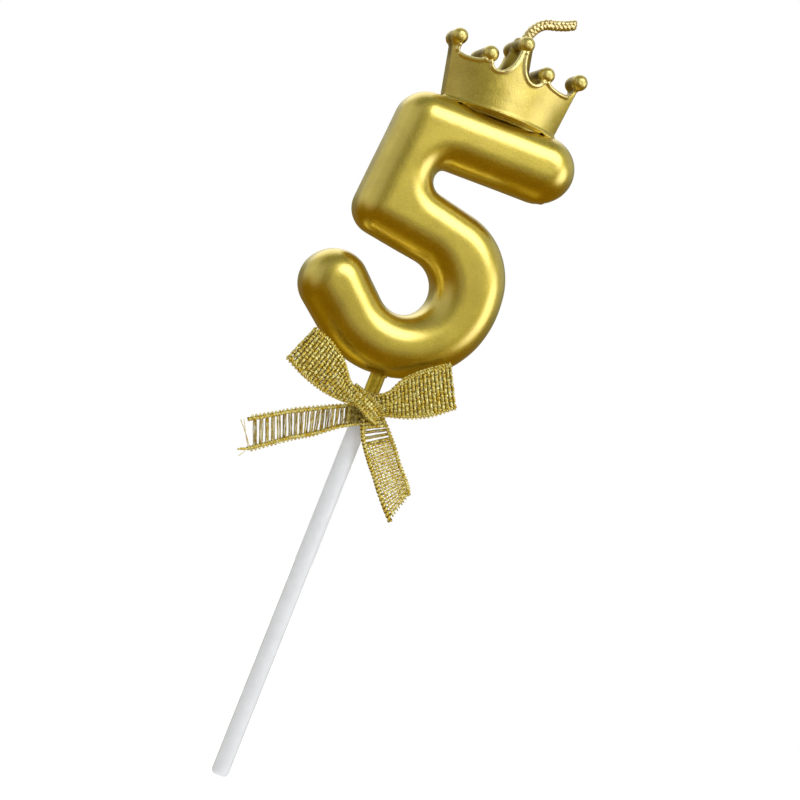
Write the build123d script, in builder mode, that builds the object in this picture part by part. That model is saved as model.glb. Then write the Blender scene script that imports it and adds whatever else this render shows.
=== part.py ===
from build123d import *
import math
import os

# Number birthday candle: a gold figure five with a crown and a wick, on a plastic
# stick, with a ribbon bow tied round the neck of the stick. Millimetres, +Z up.
# The origin is the lower tip of the stick, and the stick stands along Z.
# The front of the figure faces -Y.

os.makedirs("parts", exist_ok=True)

# ---------------------------------------------------------------- driving dimensions
# stick: a round rod, a thinner neck, a thin collar that the figure sits on, a spigot
stick_diameter = 3.2
stick_length = 66.8
tip_round = 0.9
neck_diameter = 2.8
collar_diameter = 3.3
collar_thickness = 0.6
seat_height = 76.9
spigot_length = 8.4
spigot_chamfer = 0.4
spigot_clearance = 0.03
collar_clearance = 0.15

# figure: every size is in the figure's own plane, which leans a little on the stick
figure_base = 76.3
figure_lean = 3.2
figure_depth = 12.4
figure_edge_round = 5.0
stroke_top = 50.8
bar_end_radius = 6.1
top_corner_radius = 5.3
mid_corner_radius = 5.05
counter_radius = 2.35
bowl_radius = 18.0
shoulder_radius = 13.45
bowl_inner_radius = 5.15
terminal_radius = 6.15

# crown: a lens-shaped block that flares upwards, with five points
crown_centre = 5.6
crown_height = 13.8
base_half_width = 10.8
base_half_depth = 6.2
base_end_half_depth = 1.5
top_half_width = 13.0
top_half_depth = 5.3
top_end_half_depth = 1.9
# the points from left to right: (x, height) of the ball on each
points = [(-11.7, 11.0), (-5.8, 9.6), (-0.2, 13.3), (5.2, 9.6), (12.1, 11.0)]
# the scallops between them: (x, height) of the floor, then how high its left and its
# right corner curve up before the straight flank of the point
scallops = [(-9.0, 7.8, 0.9, 0.9), (-3.8, 7.0, 1.6, 5.4), (3.0, 6.9, 5.4, 1.6), (9.3, 7.5, 1.2, 2.2)]
ball_radius = 1.35
post_radius = 1.3
ball_inset = 0.6
tip_half_width = 0.4
pillar_foot_height = 5.0
pillar_foot_radius = 3.2
pillar_top_radius = 1.7
pillar_top = 14.8

# wick
wick_diameter = 1.8
wick_depth = 9.4
wick_offset = 0.5
wick_bend_radius = 3.0

# ribbon bow
ribbon_width = 6.5
tail_thickness = 0.8
knot_clearance = 0.05
knot_bottom = 66.9
knot_top = 73.1
knot_round = 1.2

# ---------------------------------------------------------------- shared planes
lean = math.radians(figure_lean)
along = Vector(math.cos(lean), 0, math.sin(lean))
upward = Vector(-math.sin(lean), 0, math.cos(lean))
figure_plane = Plane(origin=(0, 0, figure_base), x_dir=along, z_dir=(0, -1, 0))
crown_foot = Vector(0, 0, figure_base) + along * crown_centre + upward * stroke_top
crown_plane = Plane(origin=crown_foot, x_dir=along, z_dir=(0, -1, 0))


def level(height):
    """The plane across the crown at a height above the top of the bar."""
    return Plane(origin=crown_foot + upward * height, x_dir=along, z_dir=upward)


# ---------------------------------------------------------------- stick
with BuildPart() as stick:
    with BuildSketch(Plane.XY):
        Circle(stick_diameter / 2)
    extrude(amount=stick_length)
    fillet(stick.edges().sort_by(Axis.Z)[0], tip_round)
    with BuildSketch(Plane.XY.offset(stick_length)):
        Circle(neck_diameter / 2)
    extrude(amount=seat_height + spigot_length - stick_length)
    chamfer(stick.edges().sort_by(Axis.Z)[-1], spigot_chamfer)
    with BuildSketch(Plane.XY.offset(seat_height - collar_thickness)):
        Circle(collar_diameter / 2)
    extrude(amount=collar_thickness)
stick.part.label = "stick"
export_step(stick.part, "parts/stick.step")


# ---------------------------------------------------------------- figure five
# The outline is a belt round eight circles: (x, y, radius), where a negative radius
# is a hollow corner. It runs anticlockwise, with the wax on its left.
rounds = [
    (-6.75, stroke_top - top_corner_radius, top_corner_radius),
    (-9.25, 28.3, mid_corner_radius),
    (-0.75, 16.45, -bowl_inner_radius),
    (-13.1, 12.8, terminal_radius),
    (-1.0, bowl_radius, bowl_radius),
    (3.5, 19.3, shoulder_radius),
    (0.15, 36.3, -counter_radius),
    (16.2, stroke_top - bar_end_radius, bar_end_radius),
]


def heading(first, second):
    """The direction in degrees of the straight run from one circle to the next."""
    dx = second[0] - first[0]
    dy = second[1] - first[1]
    step = second[2] - first[2]
    run = math.sqrt(dx * dx + dy * dy - step * step)
    return math.degrees(math.atan2(dy, dx) - math.atan2(step, run))


def belt(circles):
    """Arcs round the circles, joined by straight runs that touch them."""
    arcs = []
    for i, (x, y, radius) in enumerate(circles):
        arrive = heading(circles[i - 1], circles[i])
        leave = heading(circles[i], circles[(i + 1) % len(circles)])
        side = math.copysign(1, radius)
        turn = side * ((side * (leave - arrive)) % 360)
        arcs.append(CenterArc((x, y), abs(radius), arrive - 90 * side, turn))
    for i, arc in enumerate(arcs):
        Line(arcs[i - 1] @ 1, arc @ 0)


with BuildPart() as figure_five:
    with BuildSketch(figure_plane):
        with BuildLine():
            belt(rounds)
        make_face()
    extrude(amount=figure_depth / 2, both=True)
    faces = figure_five.faces().sort_by(Axis.Y)
    fillet(faces[0].edges() + faces[-1].edges(), figure_edge_round)
    # socket for the spigot, and the seat that the collar rests in
    with BuildSketch(Plane.XY.offset(figure_base - 1)):
        Circle(neck_diameter / 2 + spigot_clearance)
    extrude(amount=seat_height + spigot_length - figure_base + 1, mode=Mode.SUBTRACT)
    with BuildSketch(Plane.XY.offset(figure_base - 1)):
        Circle(collar_diameter / 2 + collar_clearance)
    extrude(amount=seat_height - figure_base + 1, mode=Mode.SUBTRACT)
    # hole for the wick, down from the top of the bar
    with BuildSketch(level(-wick_depth)):
        with Locations((wick_offset, 0)):
            Circle(wick_diameter / 2)
    extrude(amount=wick_depth + 1, mode=Mode.SUBTRACT)
figure_five.part.label = "figure_five"
export_step(figure_five.part, "parts/figure_five.step")


# ---------------------------------------------------------------- crown
def lens(half_width, half_depth, end_half_depth):
    """The lines of a plan with bowed front and back and short straight ends."""
    front = ThreePointArc(
        (-half_width, -end_half_depth), (0, -half_depth), (half_width, -end_half_depth)
    )
    back = ThreePointArc(
        (half_width, end_half_depth), (0, half_depth), (-half_width, end_half_depth)
    )
    Line(front @ 1, back @ 0)
    Line(back @ 1, front @ 0)


def point_half_depth(x):
    """Half the crown's depth at a point, from the bow of its front at the top."""
    rise = top_half_depth - top_end_half_depth
    bow = (top_half_width**2 + rise**2) / (2 * rise)
    return top_half_depth - bow + math.sqrt(bow**2 - x**2)


with BuildPart() as crown:
    with BuildSketch(level(0)):
        with BuildLine():
            lens(base_half_width, base_half_depth, base_end_half_depth)
        make_face()
    with BuildSketch(level(crown_height)):
        with BuildLine():
            lens(top_half_width, top_half_depth, top_end_half_depth)
        make_face()
    loft()
    # the points and scallops, cut through from front to back
    with BuildSketch(crown_plane):
        with BuildLine():
            left_end = (-2 * base_half_width, points[0][1])
            here = left_end
            for (x1, y1), (floor_x, floor_y, left_rise, right_rise), (x2, y2) in zip(
                points, scallops, points[1:]
            ):
                down = EllipticalCenterArc(
                    (floor_x, floor_y + left_rise),
                    floor_x - x1 - tip_half_width,
                    left_rise,
                    start_angle=180,
                    arc_size=90,
                )
                up = EllipticalCenterArc(
                    (floor_x, floor_y + right_rise),
                    x2 - tip_half_width - floor_x,
                    right_rise,
                    start_angle=270,
                    arc_size=90,
                )
                Polyline(here, (x1 + tip_half_width, y1), down @ 0)
                here = (x2 - tip_half_width, y2)
                Line(up @ 1, here)
            Polyline(
                here,
                (2 * base_half_width, points[-1][1]),
                (2 * base_half_width, -1),
                (-2 * base_half_width, -1),
                left_end,
            )
        make_face()
    extrude(amount=2 * base_half_depth, both=True, mode=Mode.INTERSECT)
    # a post through each point, with a ball at its front and back
    for x, y in points:
        half = point_half_depth(x)
        with BuildSketch(crown_plane):
            with Locations((x, y)):
                Circle(post_radius)
        extrude(amount=half, both=True)
        for face_side in (-1, 1):
            ball_plane = crown_plane.offset(face_side * (half - ball_inset))
            with Locations(ball_plane):
                with Locations((x, y)):
                    Sphere(ball_radius)
    # the pillar that holds the wick
    with BuildSketch(level(pillar_foot_height)):
        with Locations((wick_offset, 0)):
            Circle(pillar_foot_radius)
    with BuildSketch(level(pillar_top)):
        with Locations((wick_offset, 0)):
            Circle(pillar_top_radius)
    loft()
    with BuildSketch(level(-1)):
        with Locations((wick_offset, 0)):
            Circle(wick_diameter / 2)
    extrude(amount=pillar_top + 2, mode=Mode.SUBTRACT)
crown.part.label = "crown"
export_step(crown.part, "parts/crown.step")


# ---------------------------------------------------------------- wick
# straight through the crown and into the bar, then bent over to the right
wick_turns = [
    (wick_offset, -wick_depth),
    (wick_offset, 16.1),
    (3.4, 19.4),
    (8.5, 21.1),
]

with BuildPart() as wick:
    with BuildLine(crown_plane) as wick_path:
        FilletPolyline(*wick_turns, radius=wick_bend_radius)
    with BuildSketch(Plane(origin=wick_path.line @ 0, z_dir=wick_path.line % 0)):
        Circle(wick_diameter / 2)
    sweep()
wick.part.label = "wick"
export_step(wick.part, "parts/wick.step")

# ---------------------------------------------------------------- bow knot
# the ribbon's turns round the neck, with the knot in front
with BuildPart() as bow_knot:
    with BuildSketch(Plane.XY.offset(knot_bottom)):
        with BuildLine():
            FilletPolyline(
                (-2.9, -4.9), (2.7, -4.9), (2.5, 2.5), (-2.5, 2.5),
                radius=knot_round, close=True,
            )
        make_face()
    extrude(amount=knot_top - knot_bottom)
    ends = bow_knot.edges().group_by(Axis.Z)
    fillet(ends[0] + ends[-1], knot_round)
    with BuildSketch(Plane.XY.offset(knot_bottom)):
        Circle(stick_diameter / 2 + knot_clearance)
    extrude(amount=knot_top - knot_bottom, mode=Mode.SUBTRACT)
bow_knot.part.label = "bow_knot"
export_step(bow_knot.part, "parts/bow_knot.step")

# ---------------------------------------------------------------- bow loops
# Each loop is the outer shape of a doubled ribbon. Its stations run outwards from the
# knot: (x, y, z), then the width across the ribbon and the depth of the loop there.
loops = {
    "bow_loop_left": [
        ((-1.6, -3.5, 70.9), 2.6, 2.2),
        ((-8.4, -5.0, 73.3), 5.0, 2.8),
        ((-15.3, -6.2, 76.2), ribbon_width, 2.0),
    ],
    "bow_loop_right": [
        ((1.4, -3.5, 71.1), 2.6, 2.2),
        ((7.2, -5.3, 75.0), 5.6, 2.8),
        ((12.2, -6.4, 78.9), ribbon_width, 2.0),
    ],
}
loop_corner = 0.45

for name, stations in loops.items():
    axis = (Vector(*stations[-1][0]) - Vector(*stations[0][0])).normalized()
    across = Vector(0, 1, 0).cross(axis).normalized()
    with BuildPart() as loop:
        for place, width, depth in stations:
            with BuildSketch(Plane(origin=place, x_dir=across, z_dir=axis)):
                RectangleRounded(width, depth, loop_corner * depth)
        loft()
        add(bow_knot.part, mode=Mode.SUBTRACT)
    loop.part.label = name
    export_step(loop.part, f"parts/{name}.step")

# ---------------------------------------------------------------- bow tails
# Flat strips that widen from the knot to the full ribbon: corners in X and Z, in order
# round the strip, and the Y of the strip's middle.
tails = {
    "bow_tail_left": (
        [(-1.6, 69.4), (-7.5, 67.4), (-20.0, 60.4), (-18.4, 54.7), (-6.5, 61.6), (-1.2, 67.0)],
        -3.1,
    ),
    "bow_tail_right": (
        [(1.8, 69.4), (7.8, 64.4), (12.5, 58.9), (11.0, 52.6), (2.7, 62.0), (0.2, 67.0)],
        -3.3,
    ),
}

for name, (corners, middle) in tails.items():
    with BuildPart() as tail:
        with BuildSketch(Plane.XZ.offset(-middle)):
            with BuildLine():
                Polyline(*corners, close=True)
            make_face()
        extrude(amount=tail_thickness / 2, both=True)
        add(bow_knot.part, mode=Mode.SUBTRACT)
    tail.part.label = name
    export_step(tail.part, f"parts/{name}.step")
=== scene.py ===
import math

import bmesh
import bpy
import numpy as np
from mathutils import Matrix, Vector, noise
from mathutils.kdtree import KDTree


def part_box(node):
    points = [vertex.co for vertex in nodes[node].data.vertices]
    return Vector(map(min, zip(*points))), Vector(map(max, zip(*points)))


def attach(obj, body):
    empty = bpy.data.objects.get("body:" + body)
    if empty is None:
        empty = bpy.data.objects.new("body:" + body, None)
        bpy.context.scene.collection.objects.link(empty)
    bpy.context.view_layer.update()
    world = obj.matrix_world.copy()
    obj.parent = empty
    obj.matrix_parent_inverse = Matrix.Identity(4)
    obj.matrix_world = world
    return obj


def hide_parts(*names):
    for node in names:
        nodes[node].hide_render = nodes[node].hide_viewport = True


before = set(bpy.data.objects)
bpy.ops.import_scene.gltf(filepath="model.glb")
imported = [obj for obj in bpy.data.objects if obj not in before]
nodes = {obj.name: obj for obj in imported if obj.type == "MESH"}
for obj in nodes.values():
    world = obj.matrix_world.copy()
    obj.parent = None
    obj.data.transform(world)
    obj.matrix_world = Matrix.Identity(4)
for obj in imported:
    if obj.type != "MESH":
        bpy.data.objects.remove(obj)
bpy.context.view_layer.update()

# Number birthday candle: the cast wax figure and crown, the braided wick, the stick and
# the woven ribbon bow. Lengths in the modelling code are millimetres, and each finished
# mesh is scaled to metres. The front of the figure faces -Y.

MM = 0.001
scene = bpy.context.scene

# the figure leans a little to the left on its stick, and the crown and wick with it
LEAN = math.radians(3.2)
ALONG = np.array([math.cos(LEAN), 0, math.sin(LEAN)])
UPWARD = np.array([-math.sin(LEAN), 0, math.cos(LEAN)])
FIGURE_FOOT = np.array([0, 0, 76.3])
CROWN_FOOT = FIGURE_FOOT + 5.6 * ALONG + 50.8 * UPWARD


# ---------------------------------------------------------------- mesh helpers
def add_piece(name, mesh, body, replaced, slot, *materials):
    """Puts a finished mesh into the scene as a piece of the object."""
    piece = bpy.data.objects.new(name, mesh)
    scene.collection.objects.link(piece)
    mesh.materials.clear()
    for material in materials:
        mesh.materials.append(material)
    mesh.shade_smooth()
    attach(piece, body)
    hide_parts(replaced)
    return piece


def node_in_mm(node):
    """A copy of a CAD node's mesh, in millimetres, with its vertices welded."""
    work = bmesh.new()
    work.from_mesh(nodes[node].data)
    bmesh.ops.scale(work, vec=(1 / MM,) * 3, verts=work.verts)
    bmesh.ops.remove_doubles(work, verts=work.verts, dist=0.0005)
    return work


def add_balls(work, centres, radii):
    """Small closed balls, to be melted into the rest by the remesh."""
    ball = bmesh.new()
    bmesh.ops.create_icosphere(ball, subdivisions=2, radius=1)
    ball.verts.index_update()
    corners = np.array([vert.co for vert in ball.verts])
    faces = np.array([[vert.index for vert in face.verts] for face in ball.faces])
    ball.free()
    centres, radii = np.array(centres), np.array(radii)
    places = centres[:, None] + corners * radii[:, None, None]
    rows = faces + np.arange(len(centres))[:, None, None] * len(corners)
    mesh = bpy.data.meshes.new("balls")
    mesh.from_pydata(places.reshape(-1, 3).tolist(), [], rows.reshape(-1, 3).tolist())
    work.from_mesh(mesh)
    bpy.data.meshes.remove(mesh)


def melted(work, name, voxel, smoothing):
    """The closed shells of a bmesh melted into one smooth skin, still in millimetres."""
    mesh = bpy.data.meshes.new(name)
    work.to_mesh(mesh)
    work.free()
    piece = bpy.data.objects.new(name, mesh)
    scene.collection.objects.link(piece)
    remesh = piece.modifiers.new("melt", "REMESH")
    remesh.mode = "VOXEL"
    remesh.voxel_size = voxel
    smooth = piece.modifiers.new("smooth", "SMOOTH")
    smooth.factor = 0.5
    smooth.iterations = smoothing
    graph = bpy.context.evaluated_depsgraph_get()
    result = bpy.data.meshes.new_from_object(piece.evaluated_get(graph))
    bpy.data.objects.remove(piece)
    bpy.data.meshes.remove(mesh)
    result.name = name
    return result


def vertex_arrays(mesh):
    """Positions and normals of a mesh's vertices."""
    places = np.empty(len(mesh.vertices) * 3)
    mesh.vertices.foreach_get("co", places)
    normals = np.empty(len(mesh.vertices) * 3)
    mesh.vertex_normals.foreach_get("vector", normals)
    return places.reshape(-1, 3), normals.reshape(-1, 3)


def set_places(mesh, places):
    mesh.vertices.foreach_set("co", places.ravel())
    mesh.update()


def ripple(places, size, seed):
    """Smooth noise from -1 to 1 at each place, with bumps of about the given size."""
    shift = Vector((seed * 17.3, seed * 5.1, seed * 9.7))
    return np.array([noise.noise(Vector(p) / size + shift) for p in places])


# ---------------------------------------------------------------- node materials
PAINT_COAT_ROUGHNESS = 0.23
PAINT_COAT_IOR = 2.3
# the coat's weight where shade is painted in the recesses, and the depth of its orange peel
SHADE_COAT = 0.1
PEEL_DEPTH = 0.012
THREAD_COAT_ROUGHNESS = 0.25
THREAD_COAT_IOR = 2.2
THREAD_METALLIC = 0.65
THREAD_TWIST_DEPTH = 0.09
# painted shade: the colour that threads get where they pass between the others
PAINTED_THREAD_SHADE = (0.10, 0.045, 0.001)


def node_adder(tree):
    """A function that adds a node, given its settings and its inputs' values or sockets."""

    def add(kind, inputs=(), **settings):
        node = tree.nodes.new(kind)
        for key, value in settings.items():
            setattr(node, key, value)
        for key, value in dict(inputs).items():
            if isinstance(value, bpy.types.NodeSocket):
                tree.links.new(value, node.inputs[key])
            else:
                node.inputs[key].default_value = value
        return node

    add.link = tree.links.new
    return add


def material_nodes(name):
    """A new material: (material, function that adds a node, its Principled node)."""
    material = bpy.data.materials.new(name)
    material.use_nodes = True
    tree = material.node_tree
    shader = next(n for n in tree.nodes if n.type == "BSDF_PRINCIPLED")
    return material, node_adder(tree), shader


def grain(add, size_mm, detail=3.0, roughness=0.5):
    """Noise in object space whose grains are about size_mm across."""
    place = add("ShaderNodeTexCoord").outputs["Object"]
    inputs = {
        "Vector": place, "Scale": 1 / (size_mm * MM), "Detail": detail, "Roughness": roughness
    }
    return add("ShaderNodeTexNoise", inputs).outputs["Fac"]


def between(add, factor, low, high, start=0.3, end=0.7):
    """A value or colour that goes from low to high as factor goes from start to end."""
    share = add(
        "ShaderNodeMapRange", {"Value": factor, "From Min": start, "From Max": end}
    ).outputs["Result"]
    if isinstance(low, (tuple, bpy.types.NodeSocket)):
        mix = add("ShaderNodeMix", {"Factor": share}, data_type="RGBA")
        for slot, colour in ((6, low), (7, high)):
            if isinstance(colour, tuple):
                mix.inputs[slot].default_value = (*colour, 1)
            else:
                add.link(colour, mix.inputs[slot])
        return mix.outputs[2]
    return add(
        "ShaderNodeMapRange", {"Value": share, "To Min": low, "To Max": high}
    ).outputs["Result"]


def bumped(add, height, depth_mm, before=None):
    """A bump whose full height is depth_mm."""
    inputs = {"Height": height, "Strength": 1.0, "Distance": depth_mm * MM}
    if before is not None:
        inputs["Normal"] = before
    return add("ShaderNodeBump", inputs).outputs["Normal"]


def gold_paint(name, light, dark, smooth, rough, flake_depth, coat, painted_shade=None, painted_highlight=None):
    """Metallic paint over wax: fine flakes, cloudy patches and a slight orange peel.

    Smooth and rough are the ends of the roughness, and the flake depth is in millimetres.
    With a painted shade and a painted highlight colour, the paint has the first, as painted
    shade, where the mesh's attribute for it is 1, and the second, as a painted highlight, where
    its attribute for that is 1.
    """
    material, add, shader = material_nodes(name)
    flakes = grain(add, 0.28, 2.0)
    clouds = grain(add, 3.5, 4.0)
    peel = grain(add, 1.4, 2.0)
    tone = add(
        "ShaderNodeMath", {0: flakes, 1: clouds}, operation="ADD"
    ).outputs["Value"]
    colour = between(add, tone, dark, light, 0.7, 1.3)
    if painted_shade is not None:
        # painted shade: a darker colour and less coat in the recesses; painted highlight: a
        # paler colour on the rims
        shade_share = add("ShaderNodeAttribute", attribute_name="shade_share").outputs["Fac"]
        colour = between(add, shade_share, colour, painted_shade, 0.0, 1.0)
        highlight_share = add("ShaderNodeAttribute", attribute_name="highlight_share").outputs["Fac"]
        colour = between(add, highlight_share, colour, painted_highlight, 0.0, 1.0)
        coat_in_shade = between(add, shade_share, coat, SHADE_COAT, 0.0, 1.0)
        add.link(coat_in_shade, shader.inputs["Coat Weight"])
    add.link(colour, shader.inputs["Base Color"])
    add.link(between(add, flakes, smooth, rough), shader.inputs["Roughness"])
    rise = bumped(add, peel, PEEL_DEPTH)
    add.link(bumped(add, flakes, flake_depth, rise), shader.inputs["Normal"])
    coat_grain = grain(add, 0.4, 2.0)
    add.link(bumped(add, coat_grain, 1.6 * flake_depth), shader.inputs["Coat Normal"])
    shader.inputs["Metallic"].default_value = 1.0
    shader.inputs["Coat Weight"].default_value = coat
    shader.inputs["Coat Roughness"].default_value = PAINT_COAT_ROUGHNESS
    shader.inputs["Coat IOR"].default_value = PAINT_COAT_IOR
    return material


FIGURE_PAINT = gold_paint(
    "figure_gold_paint", light=(0.88, 0.69, 0.03), dark=(0.70, 0.53, 0.012),
    smooth=0.29, rough=0.40, flake_depth=0.013, coat=1.0,
)
# the crown's paint: a darker colour with less coat as painted shade in its recesses, and a paler
# colour as a painted highlight on its rims and balls
CROWN_PAINT = gold_paint(
    "crown_gold_paint", light=(0.78, 0.62, 0.08), dark=(0.54, 0.41, 0.03),
    smooth=0.34, rough=0.46, flake_depth=0.026, coat=0.6,
    painted_shade=(0.33, 0.235, 0.018), painted_highlight=(1.0, 0.88, 0.36),
)
WICK_PAINT = gold_paint(
    "wick_gold_paint", light=(1.0, 0.88, 0.42), dark=(0.56, 0.38, 0.06),
    smooth=0.3, rough=0.5, flake_depth=0.02, coat=0.8,
)


def glitter_thread(name, light, dark, smooth, rough, coat):
    """Metallic film thread: short coated glints, and painted shade where it dips between the
    others.
    """
    material, add, shader = material_nodes(name)
    glint = grain(add, 0.5, 1.5)
    twist = grain(add, 0.11, 2.0)
    colour = between(add, glint, dark, light, 0.42, 0.58)
    # painted shade, darkest where the over attribute is low
    over = add("ShaderNodeAttribute", attribute_name="over").outputs["Fac"]
    colour = between(add, over, PAINTED_THREAD_SHADE, colour, 0.15, 0.6)
    add.link(colour, shader.inputs["Base Color"])
    add.link(between(add, twist, smooth, rough), shader.inputs["Roughness"])
    add.link(bumped(add, twist, THREAD_TWIST_DEPTH), shader.inputs["Normal"])
    add.link(between(add, glint, 0.0, coat, 0.44, 0.56), shader.inputs["Coat Weight"])
    shader.inputs["Coat Roughness"].default_value = THREAD_COAT_ROUGHNESS
    shader.inputs["Coat IOR"].default_value = THREAD_COAT_IOR
    shader.inputs["Metallic"].default_value = THREAD_METALLIC
    return material


# the ribbon's materials, and the number of each in its meshes
RIBBON_THREADS = (
    glitter_thread(
        "gold_thread", light=(1.0, 0.92, 0.32), dark=(0.74, 0.53, 0.05),
        smooth=0.14, rough=0.34, coat=0.6,
    ),
    glitter_thread(
        "pale_thread", light=(1.0, 1.0, 0.84), dark=(1.0, 0.84, 0.30),
        smooth=0.16, rough=0.40, coat=1.0,
    ),
    glitter_thread(
        "dark_gold_thread", light=(0.52, 0.30, 0.02), dark=(0.12, 0.06, 0.003),
        smooth=0.18, rough=0.36, coat=0.0,
    ),
)
GOLD, PALE, DARK = range(3)


# how far the paint's lower edge wanders, and how softly it ends
NECK_WANDER = 0.0008
NECK_FADE = 0.0004


def stick_plastic():
    """Milky white plastic, with the neck above the ribbon painted gold."""
    material, add, shader = material_nodes("stick_plastic")
    place = add("ShaderNodeTexCoord").outputs["Object"]
    height = add("ShaderNodeSeparateXYZ", {"Vector": place}).outputs["Z"]
    specks = grain(add, 0.5, 3.0)
    edge = add(
        "ShaderNodeMath", {0: specks, 1: NECK_WANDER}, operation="MULTIPLY"
    ).outputs["Value"]
    level = add("ShaderNodeMath", {0: height, 1: edge}, operation="ADD").outputs["Value"]
    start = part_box("bow_knot")[0].z
    painted = between(add, level, 0.0, 1.0, start, start + NECK_FADE)
    streaks = grain(add, 2.0, 3.0)
    white = between(add, streaks, (0.66, 0.675, 0.74), (0.71, 0.72, 0.79))
    gold = between(add, specks, (0.62, 0.46, 0.04), (0.86, 0.67, 0.10))
    mix = add("ShaderNodeMix", {"Factor": painted}, data_type="RGBA")
    add.link(white, mix.inputs[6])
    add.link(gold, mix.inputs[7])
    add.link(mix.outputs[2], shader.inputs["Base Color"])
    add.link(painted, shader.inputs["Metallic"])
    add.link(between(add, specks, 0.30, 0.42), shader.inputs["Roughness"])
    add.link(bumped(add, streaks, 0.02), shader.inputs["Normal"])
    return material


# ---------------------------------------------------------------- figure five
FIGURE_VOXEL = 0.3
UNEVEN_HEIGHT = 0.045
SEAM_HALF_WIDTH = 0.3
SEAM_HEIGHT = 0.07
FLASH_HEIGHT = 0.28
# where the flash is: below the crown's lowest point, and back from the end of the bar
FLASH_BELOW_CROWN = 11.5
FLASH_LEVEL_RANGE = 2.5
FLASH_START = 11
FLASH_STOP = 3


def under_bar_end(places, normals):
    """Which vertices are on the underside of the figure's bar, near its end."""
    bar_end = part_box("figure_five")[1].x / MM
    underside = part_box("crown")[0].z / MM - FLASH_BELOW_CROWN
    down = (normals[:, 2] < -0.5) & (np.abs(places[:, 2] - underside) < FLASH_LEVEL_RANGE)
    return down & (places[:, 0] > bar_end - FLASH_START) & (places[:, 0] < bar_end - FLASH_STOP)


def make_figure():
    """The cast figure: softly uneven wax, with the mould's parting line round its middle."""
    mesh = melted(node_in_mm("figure_five"), "figure_five_wax", FIGURE_VOXEL, smoothing=6)
    places, normals = vertex_arrays(mesh)
    uneven = UNEVEN_HEIGHT * ripple(places, size=7.0, seed=1)
    # the parting line is a low ridge on the side walls, with flash under the bar
    side = np.clip(1 - 1.5 * np.abs(normals[:, 1]), 0, 1)
    ridge = np.exp(-((places[:, 1] / SEAM_HALF_WIDTH) ** 2)) * side
    rough = ripple(places, size=1.1, seed=2)
    burr = FLASH_HEIGHT * np.clip(rough + 0.25, 0, 1)
    flash = np.where(under_bar_end(places, normals), burr, 0)
    lift = uneven + ridge * (SEAM_HEIGHT * (1 + 0.6 * rough) + flash)
    set_places(mesh, (places + normals * lift[:, None]) * MM)
    return add_piece("figure_five_wax", mesh, "number", "figure_five", "gold_wax", FIGURE_PAINT)


# ---------------------------------------------------------------- crown
CROWN_VOXEL = 0.15
UNEVEN_CROWN = 0.03
BEAD_SPACING = 0.15
# beads that round the scallops' rims; a ball on a point keeps them off for RIM_CLEAR
RIM_RADIUS = 0.38
RIM_INSET = 0.08
RIM_CLEAR = 1.4
# beads round the foot, below FOOT_BELOW, and the wax that welds its ends to the bar
FOOT_BELOW = 2
BEAD_RADIUS = 0.2
WELD_RADIUS = 0.55
WELD_FROM = 7.6
# steps of wax under the foot: share of the foot's depth, and how far down
FOOT_STEPS = [(0.86, 0.14), (0.86, 0.35), (0.72, 0.45), (0.72, 0.7)]
# the balls on the five points, (along, up) from the middle of the crown's foot
CROWN_POINTS = [(-11.7, 11.0), (-5.8, 9.6), (-0.2, 13.3), (5.2, 9.6), (12.1, 11.0)]
BALL_REACH = 1.9
BALL_SWELL = 0.14
DIMPLE_RADIUS = 0.5
DIMPLE_DEPTH = 0.14
# half the crown's depth at the top is CROWN_HALF_DEPTH in the middle, and bows back
CROWN_HALF_DEPTH = 5.3
CROWN_BOW = 3.4 / 13.0**2
# paint: painted shade above the first height and behind the points' faces by the second length,
# and a painted highlight near the rims and on the balls
SHADE_FROM = 6.5
SHADE_BEHIND = 0.7
HIGHLIGHT_WITHIN = 0.62
BALL_HIGHLIGHT = 0.4
BALL_RADIUS = 1.75


def crown_frame(places):
    """How far along and up from the middle of the crown's foot places are."""
    local = places - CROWN_FOOT
    return local @ ALONG, local @ UPWARD


def edge_points(work, spacing, wanted):
    """Points along the edges whose two faces are the wanted pair."""
    points = []
    for edge in work.edges:
        if len(edge.link_faces) != 2:
            continue
        flat, cut = sorted(edge.link_faces, key=lambda face: -abs(face.normal.y))
        if not wanted(flat.normal, cut.normal):
            continue
        start, end = (vert.co for vert in edge.verts)
        steps = max(1, math.ceil((end - start).length / spacing))
        points += [np.array(start.lerp(end, i / steps)) for i in range(steps)]
    return points


def scallop_rim(flat, cut):
    """Between the crown's front or back and a scallop."""
    return abs(flat.y) > 0.85 and abs(cut.y) < 0.3 and cut.z > 0


def foot_rim(flat, cut):
    """Between the crown's front or back and its foot."""
    return abs(flat.y) > 0.6 and cut.z < -0.9


def clear_of_points(point):
    """Whether a place on the crown is outside the balls on its points."""
    along, up = crown_frame(point)
    return all(math.hypot(along - x, up - height) > RIM_CLEAR for x, height in CROWN_POINTS)


def scallop_beads(rim_places):
    """Balls, (place, radius), that round the scallops' rims."""
    beads = []
    for point in rim_places:
        inward = RIM_INSET * np.array([0, math.copysign(1, point[1]), 0])
        beads.append((point - inward - RIM_INSET * UPWARD, RIM_RADIUS))
    return beads


def foot_beads(work):
    """Balls that round the foot, weld its ends to the bar and build the steps under it."""
    beads = []
    for point in edge_points(work, BEAD_SPACING, foot_rim):
        along, up = crown_frame(point)
        if up > FOOT_BELOW:
            continue
        beads.append((point, BEAD_RADIUS))
        past = abs(along) - WELD_FROM
        if past > 0:
            radius = WELD_RADIUS * min(1, 0.3 + past / 3)
            beads.append((point - 0.5 * radius * UPWARD, radius))
        else:
            for depth_share, drop in FOOT_STEPS:
                beads.append((point * [1, depth_share, 1] - drop * UPWARD, BEAD_RADIUS))
    return beads


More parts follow.
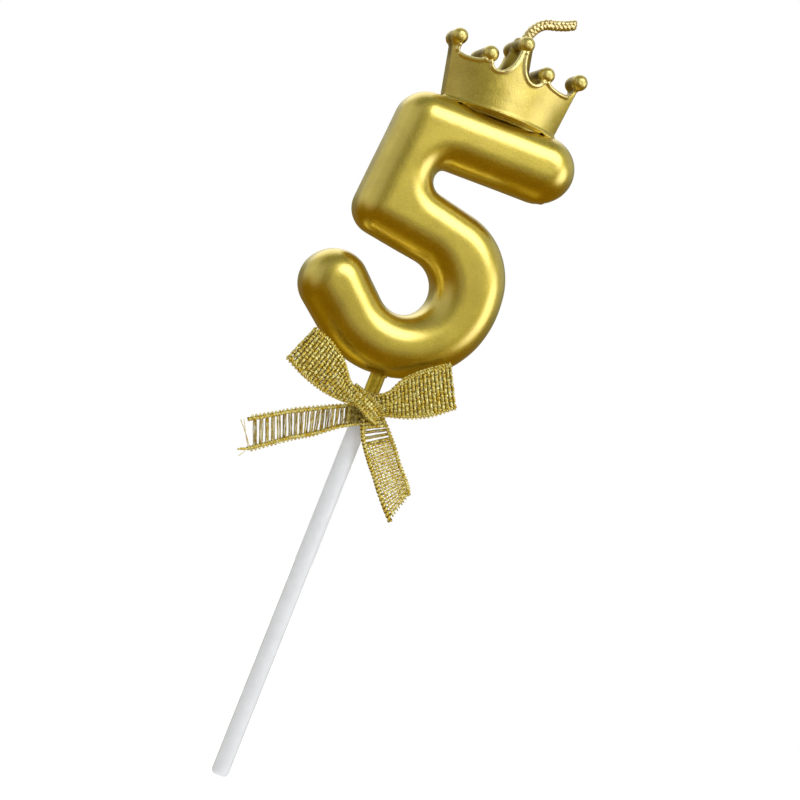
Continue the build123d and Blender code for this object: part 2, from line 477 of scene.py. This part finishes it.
def ball_lift(places, normals):
    """How far the balls on the points swell, less the dimples in their fronts and backs."""
    along, up = crown_frame(places)
    facing = np.clip((np.abs(normals[:, 1]) - 0.4) / 0.4, 0, 1)
    lift = np.zeros(len(places))
    for x, height in CROWN_POINTS:
        away = np.hypot(along - x, up - height)
        share = away / DIMPLE_RADIUS
        lift += BALL_SWELL * np.clip((BALL_REACH - away) / 0.4, 0, 1)
        lift -= DIMPLE_DEPTH * np.exp(-(share**2)) * facing * (share < 2)
    return lift


def paint_shares(places, rim_places):
    """Shares from 0 to 1 of painted shade behind the points, and of painted highlight on the
    rims and balls.
    """
    along, up = crown_frame(places)
    depth = np.abs(places[:, 1])
    half_depth = CROWN_HALF_DEPTH - CROWN_BOW * along**2
    behind = np.clip((half_depth - SHADE_BEHIND - depth) / 1.2, 0, 1)
    shade_share = behind * np.clip((up - SHADE_FROM) / 1.5, 0, 1)
    rim_tree = KDTree(len(rim_places))
    for i, place in enumerate(rim_places):
        rim_tree.insert(place, i)
    rim_tree.balance()
    away = np.array([rim_tree.find(place)[2] for place in places])
    # painted highlight along the scallops' rims, and part of one on the balls
    highlight_share = np.clip((HIGHLIGHT_WITHIN - away) / 0.2, 0, 1)
    for x, height in CROWN_POINTS:
        on_ball = (np.hypot(along - x, up - height) < BALL_RADIUS) & (depth > half_depth - 0.9)
        highlight_share = np.maximum(highlight_share, BALL_HIGHLIGHT * on_ball)
    return shade_share, highlight_share


def make_crown():
    """The cast crown: rounded rims, a bead round its foot, and dimples in its balls."""
    work = node_in_mm("crown")
    rim_places = [p for p in edge_points(work, BEAD_SPACING, scallop_rim) if clear_of_points(p)]
    add_balls(work, *zip(*scallop_beads(rim_places), *foot_beads(work)))
    mesh = melted(work, "crown_wax", CROWN_VOXEL, smoothing=4)
    places, normals = vertex_arrays(mesh)
    lift = UNEVEN_CROWN * ripple(places, size=3.0, seed=3) + ball_lift(places, normals)
    set_places(mesh, (places + normals * lift[:, None]) * MM)
    # the shares of painted shade and of painted highlight go on the mesh's vertices
    for key, values in zip(("shade_share", "highlight_share"), paint_shares(places, rim_places)):
        mesh.attributes.new(key, "FLOAT", "POINT").data.foreach_set("value", values)
    return add_piece("crown_wax", mesh, "number", "crown", "gold_wax", CROWN_PAINT)


# ---------------------------------------------------------------- thread and cord meshes
class Threads:
    """Collects round and flat threads, then makes one mesh of them."""

    def __init__(self):
        self.places = []
        self.faces = []
        self.kinds = []
        self.over = []
        self.count = 0

    def add(self, path, normals, half_width, half_thickness, kind, sides=6, over=1.0):
        """A closed thread along a path. Its flat side faces along the normals.

        Over is 1 where the thread lies on top of the others, on either side of the
        ribbon, and 0 where it passes between them; shade is painted where it is low.
        """
        path = np.asarray(path, float)
        self.over.append(np.repeat(np.broadcast_to(over, len(path)), sides))
        ahead = np.gradient(path, axis=0)
        ahead /= np.linalg.norm(ahead, axis=1)[:, None] + 1e-9
        across = np.cross(ahead, normals)
        across /= np.linalg.norm(across, axis=1)[:, None] + 1e-9
        lift = np.cross(across, ahead)
        turns = (np.arange(sides) * 2 * math.pi / sides)[None, :, None]
        half_width = np.reshape(half_width, (-1, 1, 1))
        half_thickness = np.reshape(half_thickness, (-1, 1, 1))
        ring = (
            across[:, None] * np.cos(turns) * half_width
            + lift[:, None] * np.sin(turns) * half_thickness
        )
        self.places.append((path[:, None] + ring).reshape(-1, 3))
        low = self.count + np.arange(len(path) * sides).reshape(-1, sides)
        after = np.roll(low, -1, axis=1)
        walls = np.stack([low[:-1], after[:-1], after[1:], low[1:]], axis=2)
        self.faces += walls.reshape(-1, 4).tolist()
        self.faces += [low[0, ::-1].tolist(), low[-1].tolist()]
        self.kinds += [kind] * ((len(path) - 1) * sides + 2)
        self.count += len(path) * sides

    def mesh(self, name, scale=MM):
        """All the threads as one mesh, with the over attribute on its vertices."""
        mesh = bpy.data.meshes.new(name)
        mesh.from_pydata(np.concatenate(self.places) * scale, [], self.faces)
        mesh.polygons.foreach_set("material_index", self.kinds)
        over = np.concatenate(self.over)
        mesh.attributes.new("over", "FLOAT", "POINT").data.foreach_set("value", over)
        mesh.validate()
        mesh.update()
        return mesh


CURVE_STEPS = 40


def through(points):
    """A smooth Catmull-Rom curve through rows of numbers."""
    rows = np.asarray(points, float)
    padded = np.vstack([2 * rows[0] - rows[1], rows, 2 * rows[-1] - rows[-2]])
    share = np.linspace(0, 1, CURVE_STEPS, endpoint=False)[:, None]
    spans = []
    for before, start, end, after in zip(padded, padded[1:], padded[2:], padded[3:]):
        spans.append(0.5 * (
            2 * start + (end - before) * share
            + (2 * before - 5 * start + 4 * end - after) * share**2
            + (3 * start - before - 3 * end + after) * share**3
        ))
    return np.vstack(spans + [rows[-1:]])


def spaced(rows, step):
    """Rows at even steps along the curve of their first three columns, and their lengths."""
    gaps = np.linalg.norm(np.diff(rows[:, :3], axis=0), axis=1)
    length = np.concatenate([[0], np.cumsum(gaps)])
    count = max(3, int(round(length[-1] / step)) + 1)
    stops = np.linspace(0, length[-1], count)
    return np.column_stack([np.interp(stops, length, column) for column in rows.T]), stops


# ---------------------------------------------------------------- wick
# along and up from the middle of the crown's foot, on the figure's middle plane
WICK_ROUTE = [
    (0.5, 9.0), (0.5, 12.5), (0.55, 14.8), (1.0, 16.6), (1.9, 18.0), (3.2, 19.0),
    (4.9, 19.5), (6.7, 20.1), (8.4, 20.9),
]
WICK_STEP = 0.08
# a strand's radius, how far it swings to the side, and the length of one swing
WICK_STRAND = 0.52
WICK_BRAID = 0.47
WICK_BRAID_PITCH = 2.3
WICK_VOXEL = 0.11


def make_wick():
    """Three strands braided round each other, under a skin of wax and paint."""
    stations = [CROWN_FOOT + ALONG * x + UPWARD * height for x, height in WICK_ROUTE]
    route, length = spaced(through(stations), WICK_STEP)
    ahead = np.gradient(route, axis=0)
    ahead /= np.linalg.norm(ahead, axis=1)[:, None]
    depth = np.tile([0.0, 1.0, 0.0], (len(route), 1))
    side = np.cross(depth, ahead)
    threads = Threads()
    for strand in range(3):
        phase = 2 * math.pi * (length / WICK_BRAID_PITCH + strand / 3)
        swing = WICK_BRAID * np.cos(phase)
        out = 0.7 * WICK_BRAID * np.sin(2 * phase)
        path = route + side * swing[:, None] + depth * out[:, None]
        threads.add(path, depth, WICK_STRAND, WICK_STRAND, 0, sides=10)
    work = bmesh.new()
    work.from_mesh(threads.mesh("wick_strands", 1))
    mesh = melted(work, "wick_braid", WICK_VOXEL, smoothing=2)
    places, normals = vertex_arrays(mesh)
    fuzz = 0.06 * ripple(places, size=0.35, seed=5) + 0.04 * ripple(places, size=0.9, seed=6)
    set_places(mesh, (places + normals * fuzz[:, None]) * MM)
    return add_piece("wick_braid", mesh, "number", "wick", "wick_cotton", WICK_PAINT)


# ---------------------------------------------------------------- ribbon
BAND_STEP = 0.1


class Band:
    """A stretch of ribbon between two edges.

    Each station is (upper edge, lower edge, bulge, pleat): the two edges' places, how far
    the middle stands out and how deep the pleats are there. Waves is the number of pleats
    across the ribbon.
    """

    def __init__(self, stations, waves=2.5):
        rows = [[*upper, *lower, bulge, pleat] for upper, lower, bulge, pleat in stations]
        rows = through(rows)
        middle = (rows[:, 0:3] + rows[:, 3:6]) / 2
        table, self.stops = spaced(np.hstack([middle, rows]), BAND_STEP)
        self.middle, self.upper, self.lower = table[:, 0:3], table[:, 3:6], table[:, 6:9]
        self.bulge, self.pleat = table[:, 9], table[:, 10]
        ahead = np.gradient(self.middle, axis=0)
        normal = np.cross(ahead, self.lower - self.upper)
        self.ahead = ahead / np.linalg.norm(ahead, axis=1)[:, None]
        self.normal = normal / np.linalg.norm(normal, axis=1)[:, None]
        self.length = self.stops[-1]
        self.waves = waves

    def pick(self, table, s):
        """A table's rows at lengths s along the ribbon."""
        return np.column_stack([np.interp(s, self.stops, column) for column in table.T])

    def at(self, s, v):
        """Places and surface normals at lengths s and shares v across the ribbon."""
        s, v = np.broadcast_arrays(np.asarray(s, float), np.asarray(v, float))
        upper, lower = self.pick(self.upper, s), self.pick(self.lower, s)
        normal, ahead = self.pick(self.normal, s), self.pick(self.ahead, s)
        bulge = np.interp(s, self.stops, self.bulge)
        pleat = np.interp(s, self.stops, self.pleat)
        turn = 2 * math.pi * self.waves * v
        rise = 4 * bulge * v * (1 - v) + pleat * np.sin(turn)
        slope = 4 * bulge * (1 - 2 * v) + pleat * 2 * math.pi * self.waves * np.cos(turn)
        places = upper + (lower - upper) * v[:, None] + normal * rise[:, None]
        across = (lower - upper) + normal * slope[:, None]
        facing = np.cross(ahead, across)
        facing /= np.linalg.norm(facing, axis=1)[:, None] + 1e-9
        return places, facing


WEAVE_STEP = 0.13
CORD_STEP = 0.1
# a thread of the weave is half as thick as it is wide
THREAD_FLATNESS = 0.5


def weave(threads, band, warps, pitch, halves, rise, kinds, seed, start=0, end=None):
    """Warps along the band and wefts across it, each over and under the other.

    The pitch is the gap between wefts, the halves are half the widths of a warp and of a
    weft, and the kinds are what the warps and what the wefts are picked from.
    """
    chance = np.random.default_rng(seed)
    end = band.length if end is None else end
    steps = np.arange(start, end, WEAVE_STEP)
    for i in range(warps):
        v = (i + 0.5 + chance.uniform(-0.12, 0.12)) / warps
        places, facing = band.at(steps, v)
        wave = np.cos(math.pi * (steps / pitch - 0.5 + i))
        half = halves[0] * chance.uniform(0.8, 1.2)
        kind = kinds[0][chance.integers(len(kinds[0]))]
        path = places + facing * rise * wave[:, None]
        # the over share paints shade on each thread where it dips between the others
        threads.add(path, facing, half, THREAD_FLATNESS * half, kind, over=np.abs(wave))
    shares = np.linspace(0.01, 0.99, warps * 3)
    for j in range(int((end - start) / pitch)):
        sway = chance.uniform(-0.06, 0.06) * np.sin(math.pi * shares * chance.uniform(1, 3))
        places, facing = band.at(start + (j + 0.5) * pitch + sway, shares)
        wave = -np.cos(math.pi * (shares * warps - 0.5 + j))
        half = halves[1] * chance.uniform(0.85, 1.15)
        swell = half * (1 - 0.25 * np.cos(2 * math.pi * (shares * warps - 0.5)))
        kind = kinds[1][chance.integers(len(kinds[1]))]
        path = places + facing * rise * wave[:, None]
        threads.add(path, facing, swell, THREAD_FLATNESS * half, kind, over=np.abs(wave))


def edge_cord(threads, band, v, radius, pitch, kinds):
    """Plies twisted round each other along one edge of the band, one of each kind."""
    steps = np.arange(0, band.length, CORD_STEP)
    places, facing = band.at(steps, v)
    ahead = np.gradient(places, axis=0)
    ahead /= np.linalg.norm(ahead, axis=1)[:, None]
    side = np.cross(ahead, facing)
    for ply, kind in enumerate(kinds):
        turn = 2 * math.pi * (steps / pitch + ply / len(kinds))
        offset = radius * (facing * np.cos(turn)[:, None] + side * np.sin(turn)[:, None])
        # painted shade on each ply where it turns to the side of the cord
        threads.add(places + offset, facing, radius, radius, kind, over=np.abs(np.cos(turn)))


PICOT_HALF = 0.11


def picots(threads, band, v, reach, kinds):
    """The small loops that the wefts make where they turn at an edge.

    The reach is how far they stand out, as a share of the ribbon's width.
    """
    arc = np.linspace(0, math.pi, 7)
    inner = 1 if v < 0.5 else -1
    for j in range(int(band.length / WEAVE_PITCH)):
        s = (j + 0.5) * WEAVE_PITCH + 0.3 * WEAVE_PITCH * np.cos(arc)
        share = v - inner * reach * np.sin(arc) + inner * 0.02
        places, facing = band.at(s, share)
        threads.add(places, facing, PICOT_HALF, PICOT_HALF, kinds[j % len(kinds)])


def rungs(threads, band, spots, strands, gap, radius, kinds, seed):
    """Groups of fine threads across the band at the given lengths along it.

    The gap is the one between the strands of a group.
    """
    chance = np.random.default_rng(seed)
    shares = np.linspace(-0.02, 1.02, 22)
    for spot in spots:
        tilt = chance.uniform(-0.15, 0.15)
        for strand in range(strands):
            offset = (strand - (strands - 1) / 2) * gap + chance.uniform(-0.02, 0.02)
            bow = chance.uniform(-0.05, 0.05) * np.sin(math.pi * shares)
            s = spot + offset + tilt * (shares - 0.5) + bow
            places, facing = band.at(s, shares)
            lift = radius * (1 if strand % 2 else -1) * np.cos(math.pi * 3 * shares)
            kind = kinds[chance.integers(len(kinds))]
            path = places + facing * lift[:, None]
            # each strand gets a random share of the painted thread shade
            threads.add(path, facing, radius, radius, kind, over=chance.uniform(0.25, 0.55))


def spots_between(start, end, first_gap, last_gap):
    """Lengths from start to end whose gaps change evenly from the first to the last."""
    spots = [start]
    while spots[-1] < end:
        share = (spots[-1] - start) / (end - start)
        spots.append(spots[-1] + first_gap + (last_gap - first_gap) * share)
    return spots[:-1]


RIBBON_WARPS = 8
WEAVE_PITCH = 0.72
WEAVE_HALVES = (0.20, 0.27)
WEAVE_RISE = 0.15
WEAVE_KINDS = ((GOLD, DARK, PALE), (PALE, PALE, GOLD))
CORD_RADIUS = 0.16
CORD_PITCH = 0.9

# Each stretch of ribbon is a list of (upper edge, lower edge, bulge, pleat). A loop runs
# from the knot along its front layer, round its fold and back to the knot.
LOOPS = {
    "bow_loop_left": [
        ((-2.6, -4.4, 71.9), (-3.3, -4.4, 69.6), 0.2, 0.30),
        ((-3.6, -4.8, 72.0), (-4.5, -4.7, 69.5), 0.3, 0.30),
        ((-5.6, -5.4, 73.1), (-6.7, -5.3, 69.5), 0.5, 0.22),
        ((-8.2, -6.4, 75.8), (-9.9, -6.1, 69.9), 0.7, 0.10),
        ((-11.7, -6.8, 77.9), (-13.6, -6.6, 71.0), 0.4, 0.03),
        ((-14.6, -6.7, 78.9), (-17.0, -6.5, 72.6), 0.1, 0.0),
        ((-15.0, -6.2, 79.1), (-17.5, -6.0, 72.8), 0.0, 0.0),
        ((-14.6, -5.6, 78.9), (-17.0, -5.4, 72.6), 0.1, 0.0),
        ((-11.7, -5.2, 77.7), (-13.6, -4.8, 71.2), 0.4, 0.03),
        ((-8.2, -4.7, 75.4), (-9.9, -4.3, 70.3), 0.6, 0.10),
        ((-5.6, -4.0, 72.8), (-6.7, -3.8, 69.8), 0.4, 0.20),
        ((-3.6, -3.5, 71.8), (-4.5, -3.5, 69.8), 0.2, 0.25),
    ],
    "bow_loop_right": [
        ((-0.6, -4.4, 72.3), (0.8, -4.4, 69.6), 0.2, 0.30),
        ((0.3, -4.6, 72.7), (1.9, -4.6, 69.6), 0.3, 0.30),
        ((1.9, -5.3, 74.0), (3.5, -5.2, 70.1), 0.5, 0.22),
        ((3.4, -6.3, 77.0), (6.4, -6.0, 71.1), 0.7, 0.10),
        ((6.3, -6.8, 79.7), (9.9, -6.6, 72.9), 0.4, 0.03),
        ((9.6, -6.9, 82.0), (13.3, -6.6, 75.6), 0.1, 0.0),
        ((10.0, -6.4, 82.3), (13.7, -6.1, 75.8), 0.0, 0.0),
        ((9.6, -5.9, 82.0), (13.3, -5.5, 75.6), 0.1, 0.0),
        ((6.3, -5.6, 79.5), (9.9, -4.9, 73.1), 0.2, 0.03),
        ((3.4, -5.0, 76.6), (6.4, -4.4, 71.4), 0.3, 0.10),
        ((1.9, -4.2, 73.6), (3.5, -3.9, 70.4), 0.3, 0.20),
        ((0.3, -3.5, 72.4), (1.9, -3.5, 69.9), 0.2, 0.25),
    ],
}
LEFT_TAIL = [
    ((-1.2, -3.6, 69.3), (-0.6, -3.6, 67.0), 0.2, 0.30),
    ((-3.0, -3.7, 69.3), (-2.1, -3.6, 66.2), 0.2, 0.25),
    ((-5.2, -3.4, 68.3), (-4.2, -3.3, 64.9), 0.2, 0.12),
    ((-8.7, -3.2, 66.5), (-7.6, -3.1, 62.3), 0.15, 0.04),
    ((-12.7, -3.1, 64.4), (-11.0, -3.1, 60.2), 0.1, 0.0),
    ((-16.2, -3.0, 62.2), (-14.5, -3.1, 57.7), 0.0, 0.0),
    ((-19.5, -3.1, 60.2), (-17.7, -3.2, 55.4), 0.0, 0.0),
]
RIGHT_TAIL = [
    ((2.3, -3.8, 69.9), (-0.7, -3.7, 69.2), 0.3, 0.30),
    ((3.2, -3.9, 68.9), (-0.3, -3.8, 67.2), 0.3, 0.22),
    ((4.9, -3.8, 67.2), (0.8, -3.7, 64.8), 0.3, 0.08),
    ((6.8, -3.6, 65.2), (3.0, -3.4, 61.9), 0.2, 0.0),
    ((9.1, -3.4, 62.5), (5.3, -3.3, 59.3), 0.15, 0.0),
    ((11.2, -3.4, 60.3), (7.9, -3.4, 56.2), 0.1, 0.0),
    ((12.6, -3.6, 58.4), (11.1, -3.6, 52.8), 0.0, 0.0),
]


def edges(threads, band, radius, kinds, reach):
    """Both selvedges of a band: a twisted cord with small loops outside it."""
    for v in (0.0, 1.0):
        edge_cord(threads, band, v, radius, CORD_PITCH, kinds)
        picots(threads, band, v, reach, (PALE, DARK, GOLD, DARK))


def make_ribbon(node, threads):
    """The finished piece for one of the bow's nodes."""
    mesh = threads.mesh(node + "_weave")
    return add_piece(node + "_weave", mesh, "bow", node, "gold_ribbon", *RIBBON_THREADS)


def make_loop(node, stations):
    """A doubled ribbon, woven closely from gold, dark and pale threads."""
    threads = Threads()
    band = Band(stations)
    weave(
        threads, band, RIBBON_WARPS, WEAVE_PITCH, WEAVE_HALVES, WEAVE_RISE, WEAVE_KINDS, seed=21
    )
    edges(threads, band, CORD_RADIUS, (GOLD, DARK), reach=0.085)
    return make_ribbon(node, threads)


LOOSE_CORD_RADIUS = 0.20
STRAY_STEPS = 16
# loose threads at the end of the left tail: start, end, sway and half thickness
STRAYS = [
    ((-20.7, -3.2, 59.7), (-17.3, -3.2, 55.6), 0.15, 0.07),
    ((-20.1, -2.9, 60.0), (-17.5, -3.1, 55.5), -0.10, 0.06),
    ((-19.3, -3.3, 54.7), (-17.4, -3.2, 55.5), 0.10, 0.16),
    ((-19.0, -3.0, 54.9), (-17.6, -3.1, 55.5), -0.15, 0.12),
    ((-18.7, -3.4, 53.7), (-17.9, -3.2, 55.4), 0.20, 0.06),
]


def make_left_tail():
    """Loosened ribbon: only the rungs and the two selvedges are left, frayed at the end."""
    threads = Threads()
    band = Band(LEFT_TAIL)
    spots = spots_between(0.3, band.length - 0.4, 0.8, 1.15)
    rungs(threads, band, spots, strands=4, gap=0.18, radius=0.09, kinds=(DARK, GOLD), seed=11)
    edges(threads, band, LOOSE_CORD_RADIUS, (PALE, DARK), reach=0.15)
    for start, end, sway, half in STRAYS:
        share = np.linspace(0, 1, STRAY_STEPS)[:, None]
        path = np.array(start) * (1 - share) + np.array(end) * share
        path[:, 0] += sway * np.sin(math.pi * share[:, 0])
        threads.add(path, np.tile([0.0, -1.0, 0.0], (STRAY_STEPS, 1)), half, half, DARK)
    return make_ribbon("bow_tail_left", threads)


# lengths along the right tail: the end of the close weave, and the start of the sheer one
CLOSE_WEAVE_END = 2.9
SHEER_WEAVE_START = 5.0
SHEER_KINDS = ((PALE, GOLD, GOLD), (PALE, PALE, GOLD))


def make_right_tail():
    """Close weave next to the knot, open rungs, then sheer weave down to the slanting cut."""
    threads = Threads()
    band = Band(RIGHT_TAIL)
    rungs(
        threads, band, spots_between(2.4, 5.8, 0.95, 0.9),
        strands=4, gap=0.15, radius=0.085, kinds=(GOLD, DARK, PALE), seed=12,
    )
    weave(
        threads, band, RIBBON_WARPS, WEAVE_PITCH, WEAVE_HALVES, rise=0.12,
        kinds=WEAVE_KINDS, seed=23, end=CLOSE_WEAVE_END,
    )
    weave(
        threads, band, warps=9, pitch=0.52, halves=(0.12, 0.17), rise=0.08,
        kinds=SHEER_KINDS, seed=22, start=SHEER_WEAVE_START,
    )
    edge_cord(threads, band, 1.0, radius=0.24, pitch=1.2, kinds=(PALE, DARK))
    edge_cord(threads, band, 0.0, radius=0.15, pitch=1.0, kinds=(GOLD, DARK))
    for v in (0.0, 1.0):
        picots(threads, band, v, 0.10, (GOLD, PALE, DARK))
    return make_ribbon("bow_tail_right", threads)


# the ring round the stick: its middle, and its reach to the side, to the front and up
KNOT_MIDDLE = np.array([-0.1, -0.5, 69.8])
KNOT_REACH = np.array([2.55, 2.75, 2.8])
KNOT_SLANT = 0.35
KNOT_PITCH = 0.62
KNOT_KINDS = ((DARK, DARK, GOLD), (GOLD, GOLD, PALE))
# the middle of the ribbon that crosses the front of the knot, and half its gathered width
CROSSING = [
    ((-4.7, -4.3, 71.8), 1.3), ((-3.1, -5.2, 71.2), 1.35), ((-1.3, -5.7, 70.5), 1.45),
    ((0.3, -5.5, 69.7), 1.45), ((1.8, -4.6, 69.1), 1.3), ((2.7, -3.3, 68.8), 1.2),
]
CROSSING_TOWARDS = np.array([0.4, 0.0, 0.92])


def knot_ring():
    """Stations of the ribbon round the neck of the stick; its ends overlap."""
    (middle_x, middle_y, middle_z), (side, front, up) = KNOT_MIDDLE, KNOT_REACH
    stations = []
    for turn in range(-190, 191, 20):
        angle = math.radians(turn)
        x = middle_x + side * math.sin(angle)
        y = middle_y - front * math.cos(angle)
        z = middle_z + KNOT_SLANT * math.sin(angle)
        stations.append(((x, y, z + up), (x, y, z - up), -0.25, 0.2))
    return stations


def knot_crossing():
    """Stations of the turn of ribbon that crosses the front of the knot."""
    stations = []
    for middle, half in CROSSING:
        step = CROSSING_TOWARDS * half
        stations.append((np.array(middle) + step, np.array(middle) - step, 0.4, 0.2))
    return stations


def make_knot():
    """Gathered ribbon round the neck of the stick, and the turn that crosses its front."""
    threads = Threads()
    for stations, warps, waves in ((knot_ring(), 8, 2.5), (knot_crossing(), 5, 1.5)):
        band = Band(stations, waves)
        weave(threads, band, warps, KNOT_PITCH, WEAVE_HALVES, WEAVE_RISE, KNOT_KINDS, seed=24)
        spots = spots_between(0.4, band.length, 0.9, 0.9)
        rungs(threads, band, spots, strands=2, gap=0.3, radius=0.12, kinds=(PALE, DARK), seed=13)
        edges(threads, band, CORD_RADIUS, (GOLD, DARK), reach=0.06)
    return make_ribbon("bow_knot", threads)


# ---------------------------------------------------------------- run
make_figure()
make_crown()
make_wick()
for node, stations in LOOPS.items():
    make_loop(node, stations)
make_left_tail()
make_right_tail()
make_knot()

stick = nodes["stick"]
stick.data.materials.clear()
stick.data.materials.append(stick_plastic())

# ---------------------------------------------------------------- stage, light and camera
CAMERA_LENS = 100.8
CAMERA_DISTANCE = 0.4
CAMERA_AIM = Vector((0.00514, -0.00126, 0.07358))
VIEW_AZIMUTH = math.radians(14)
VIEW_RISE = math.radians(3)
VIEW_ROLL = math.radians(21.7)


def view_axes():
    """The camera's right, up and forward directions in the object's frame."""
    forward = Vector((
        math.sin(VIEW_AZIMUTH) * math.cos(VIEW_RISE),
        math.cos(VIEW_AZIMUTH) * math.cos(VIEW_RISE),
        math.sin(VIEW_RISE),
    ))
    level = Vector((math.cos(VIEW_AZIMUTH), -math.sin(VIEW_AZIMUTH), 0))
    upright = level.cross(forward)
    right = math.cos(VIEW_ROLL) * level + math.sin(VIEW_ROLL) * upright
    up = -math.sin(VIEW_ROLL) * level + math.cos(VIEW_ROLL) * upright
    return right, up, forward


def make_camera():
    """The camera at the photograph's angle."""
    right, up, forward = view_axes()
    data = bpy.data.cameras.new("camera")
    data.sensor_width = 36.0
    data.lens = CAMERA_LENS
    data.clip_start = 0.01
    data.clip_end = 20.0
    camera = bpy.data.objects.new("camera", data)
    scene.collection.objects.link(camera)
    turn = Matrix((right, up, -forward)).transposed().to_4x4()
    camera.matrix_world = Matrix.Translation(CAMERA_AIM - CAMERA_DISTANCE * forward) @ turn
    scene.camera = camera


FLOOR_LEVEL = -0.15
FLOOR_HALF_SIZE = 6.0


def make_floor():
    """A plain pale floor, well below the candle."""
    work = bmesh.new()
    bmesh.ops.create_grid(work, x_segments=8, y_segments=8, size=FLOOR_HALF_SIZE)
    mesh = bpy.data.meshes.new("floor")
    work.to_mesh(mesh)
    work.free()
    floor = bpy.data.objects.new("floor", mesh)
    floor.location.z = FLOOR_LEVEL
    scene.collection.objects.link(floor)
    floor.visible_glossy = False
    material, add, shader = material_nodes("floor_paper")
    speckle = grain(add, 40.0)
    paper = between(add, speckle, (0.90, 0.90, 0.90), (0.93, 0.93, 0.93))
    add.link(paper, shader.inputs["Base Color"])
    shader.inputs["Roughness"].default_value = 0.9
    shader.inputs["Emission Color"].default_value = (1, 1, 1, 1)
    shader.inputs["Emission Strength"].default_value = 0.6
    mesh.materials.append(material)


WHITE = (1.0, 1.0, 1.0)
# soft lobes of light: (azimuth, elevation, inner and outer half angles, colour, strength),
# where azimuth 0 is straight in front of the figure and 90 is to its right
LOBES = [
    (20, 37, 16, 25, WHITE, 2.8),
    (58, 6, 10, 25, WHITE, 1.9),
    (-31, 37, 8, 30, WHITE, 0.12),
    (0, -2, 5, 26, WHITE, 0.1),
    (106, 38, 10, 40, WHITE, 0.25),
    (-71, 5, 10, 40, WHITE, 0.3),
    (10, -98, 5, 30, (1.0, 0.82, 0.12), 0.55),
    (-170, 45, 10, 40, WHITE, 1.1),
    (-120, 20, 10, 40, WHITE, 0.35),
]
# the light apart from the lobes, above and below the heights between which it changes
AMBIENT = (0.225, 0.225, 0.15)
BELOW = (0.21, 0.12, 0.003)
DARK_FROM = math.sin(math.radians(13))
DARK_TO = math.sin(math.radians(-26))


def lobe_light(add, direction, azimuth, elevation, inner, outer, colour, strength):
    """The light of one lobe: full inside its inner angle, and none outside its outer."""
    turn, rise = math.radians(azimuth), math.radians(elevation)
    towards = (
        math.sin(turn) * math.cos(rise),
        -math.cos(turn) * math.cos(rise),
        math.sin(rise),
    )
    dot = add("ShaderNodeVectorMath", {0: direction, 1: towards}, operation="DOT_PRODUCT")
    falloff = {
        "Value": dot.outputs["Value"],
        "From Min": math.cos(math.radians(outer)),
        "From Max": math.cos(math.radians(inner)),
        "To Max": strength,
    }
    near = add("ShaderNodeMapRange", falloff, interpolation_type="SMOOTHSTEP")
    scale = near.outputs["Result"]
    glow = add("ShaderNodeVectorMath", {0: colour, "Scale": scale}, operation="SCALE")
    return glow.outputs["Vector"]


def make_world():
    """A plain white studio, brighter where its soft boxes are and dark below the front."""
    world = bpy.data.worlds.new("studio")
    scene.world = world
    world.use_nodes = True
    world.node_tree.nodes.clear()
    add = node_adder(world.node_tree)
    direction = add("ShaderNodeTexCoord").outputs["Generated"]
    height = add("ShaderNodeSeparateXYZ", {0: direction}).outputs["Z"]
    heights = {"Value": height, "From Min": DARK_TO, "From Max": DARK_FROM}
    share = add(
        "ShaderNodeMapRange", heights, interpolation_type="SMOOTHSTEP"
    ).outputs["Result"]
    colours = {"Factor": share, 6: (*BELOW, 1), 7: (*AMBIENT, 1)}
    total = add("ShaderNodeMix", colours, data_type="RGBA").outputs[2]
    for lobe in LOBES:
        glow = lobe_light(add, direction, *lobe)
        total = add(
            "ShaderNodeVectorMath", {0: total, 1: glow}, operation="ADD"
        ).outputs["Vector"]
    lit = add("ShaderNodeBackground", {"Color": total}).outputs[0]
    plain = add("ShaderNodeBackground", {"Color": (1, 1, 1, 1)}).outputs[0]
    seen = add("ShaderNodeLightPath").outputs["Is Camera Ray"]
    studio = add("ShaderNodeMixShader", {"Fac": seen, 1: lit, 2: plain}).outputs[0]
    add("ShaderNodeOutputWorld", {"Surface": studio})


make_camera()
make_floor()
make_world()
scene.view_settings.view_transform = "Standard"
